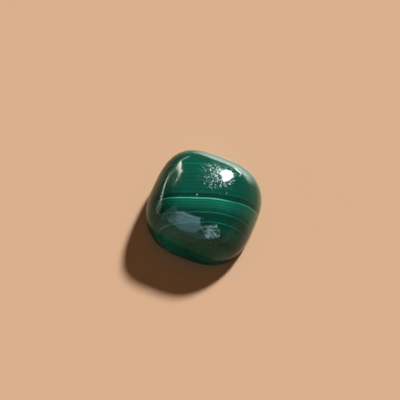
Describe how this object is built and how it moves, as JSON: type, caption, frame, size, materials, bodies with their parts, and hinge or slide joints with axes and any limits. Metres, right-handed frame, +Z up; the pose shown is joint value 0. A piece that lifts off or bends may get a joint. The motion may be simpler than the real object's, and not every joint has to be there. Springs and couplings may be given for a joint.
{
  "type": "polished malachite gemstone",
  "caption": "Loose malachite cabochon: square cushion plan with round corners, high polished dome, flat base to rest or be set on.",
  "frame": {"origin": "middle of the flat base", "axes": "+Z up through the top of the dome; +X and +Y square to the sides of the cushion"},
  "size_m": [0.012, 0.012, 0.0073],
  "materials": {
    "malachite": "high polish, banded green"
  },
  "bodies": {
    "root": {"malachite_cabochon": "malachite"}
  },
  "joints": []
}
